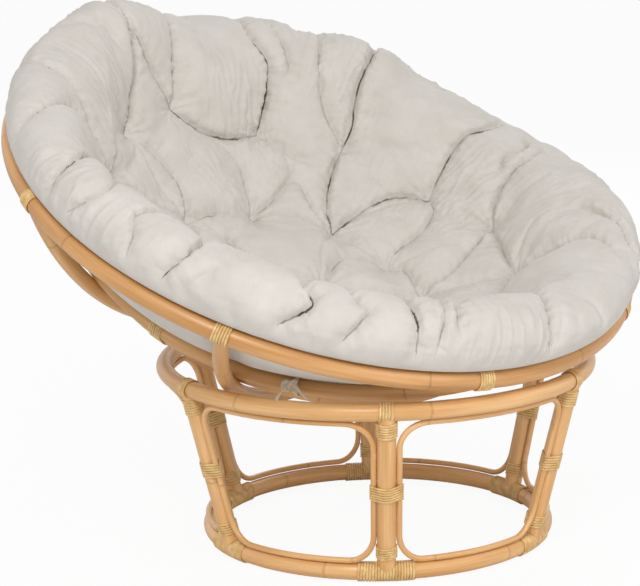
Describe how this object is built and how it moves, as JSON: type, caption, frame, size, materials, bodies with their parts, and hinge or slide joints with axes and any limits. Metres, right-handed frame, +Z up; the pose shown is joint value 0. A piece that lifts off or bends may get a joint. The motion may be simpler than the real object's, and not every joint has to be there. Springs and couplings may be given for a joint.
{
  "type": "papasan chair",
  "caption": "Round rattan bowl chair: a dished lobed cushion in a bent-pole bowl frame that rests at a tilt in a splayed round stand with rod loops and peel lashings.",
  "frame": {"origin": "on the floor, under the middle of the whole chair's bounding box", "axes": "+Z up, -Y towards the front, +X to the right of someone who looks at the front"},
  "size_m": [1.068, 1.0738, 0.8507],
  "materials": {
    "rattan": "satin lacquered rattan pole",
    "rattan_shaded": "satin lacquered rattan pole",
    "peel": "satin rattan peel strip",
    "canvas": "off-white woven cotton, matt"
  },
  "bodies": {
    "stand": {"stand_top_ring": "rattan", "stand_bottom_ring": "rattan", "post_1": "rattan", "post_2": "rattan", "post_3": "rattan", "post_4": "rattan", "post_5": "rattan", "post_6": "rattan", "bay_loop_1": "rattan", "bay_loop_2": "rattan", "bay_loop_3": "rattan", "bay_loop_4": "rattan", "bay_loop_5": "rattan", "bay_loop_6": "rattan", "post_strap_1": "peel", "post_strap_2": "peel", "post_strap_3": "peel", "post_strap_4": "peel", "post_strap_5": "peel", "post_strap_6": "peel", "post_cap_wrap_1": "peel", "post_cap_wrap_2": "peel", "post_cap_wrap_3": "peel", "post_cap_wrap_4": "peel", "post_cap_wrap_5": "peel", "post_cap_wrap_6": "peel", "post_waist_wrap_1": "peel", "post_waist_wrap_2": "peel", "post_waist_wrap_3": "peel", "post_waist_wrap_4": "peel", "post_waist_wrap_5": "peel", "post_waist_wrap_6": "peel", "post_foot_wrap_1": "peel", "post_foot_wrap_2": "peel", "post_foot_wrap_3": "peel", "post_foot_wrap_4": "peel", "post_foot_wrap_5": "peel", "post_foot_wrap_6": "peel"},
    "bowl_frame": {"bowl_rim": "rattan", "side_rib_1": "rattan_shaded", "side_rib_2": "rattan_shaded", "deep_rib_1": "rattan_shaded", "deep_rib_2": "rattan_shaded", "bowl_hoop": "rattan_shaded", "rim_wrap_1": "peel", "rim_wrap_2": "peel", "rim_wrap_3": "peel", "rim_wrap_4": "peel", "rim_wrap_5": "peel", "rim_wrap_6": "peel", "rim_wrap_7": "peel", "rim_wrap_8": "peel", "hoop_wrap_1": "peel", "hoop_wrap_2": "peel", "cushion_tie": "canvas"},
    "seat_cushion": {"cushion": "canvas"}
  },
  "joints": [
    {"name": "bowl_tilt", "type": "hinge", "parent": "stand", "child": "bowl_frame", "pos_m": [0.07785, -0.07817, 0.82794], "axis": [0.7373, 0.6756, 0], "range_deg": [-25, 0.5]},
    {"name": "cushion_lift", "type": "slide", "parent": "bowl_frame", "child": "seat_cushion", "axis": [0.2855, -0.3116, 0.9063], "range_m": [0, 0.3]}
  ]
}
